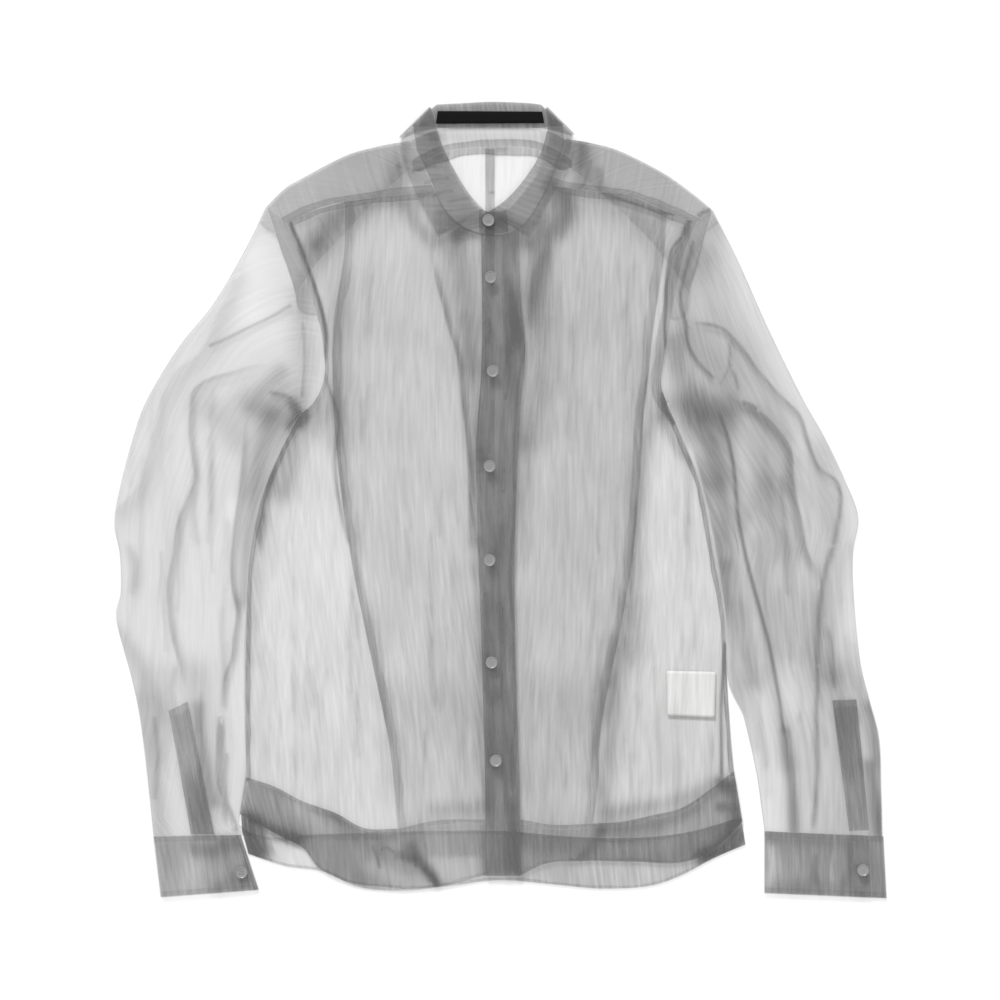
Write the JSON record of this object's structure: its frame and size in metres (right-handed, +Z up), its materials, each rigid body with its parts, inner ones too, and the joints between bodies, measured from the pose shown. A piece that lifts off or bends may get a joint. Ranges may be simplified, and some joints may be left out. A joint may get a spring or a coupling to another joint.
{
  "type": "formal shirt",
  "caption": "Sheer long-sleeved shirt laid flat and buttoned, with a turned-down collar, yoke, front placket, hem facings and buttoned cuffs.",
  "frame": {"origin": "on the surface the shirt lies on, under the middle of its outline", "axes": "+Z up out of the surface and through the front of the shirt, +Y towards the collar, +X towards the wearer's left sleeve"},
  "size_m": [0.733, 0.7561, 0.0085],
  "materials": {
    "gauze": "sheer crinkled silk gauze, matt, cool grey",
    "gauze_faced": "two plies of the same gauze over a light interlining",
    "button": "grey resin, satin",
    "label_black": "black woven satin tape, bare",
    "label_white": "white printed-satin tape, bare"
  },
  "bodies": {
    "root": {"back": "gauze", "back_centre_band": "gauze", "back_hem_facing": "gauze", "yoke": "gauze", "front_right": "gauze", "front_left": "gauze", "front_facing_right": "gauze", "front_facing_left": "gauze", "front_right_hem_facing": "gauze", "front_left_hem_facing": "gauze", "placket": "gauze", "sleeve_right": "gauze", "sleeve_left": "gauze", "sleeve_placket_right": "gauze", "sleeve_placket_left": "gauze", "cuff_right": "gauze_faced", "cuff_left": "gauze_faced", "collar_stand": "gauze_faced", "collar": "gauze_faced", "neck_label": "label_black", "care_label": "label_white", "button_stand": "button", "button_front_1": "button", "button_front_2": "button", "button_front_3": "button", "button_front_4": "button", "button_front_5": "button", "button_front_6": "button", "button_cuff_right": "button", "button_cuff_left": "button"}
  },
  "joints": []
}
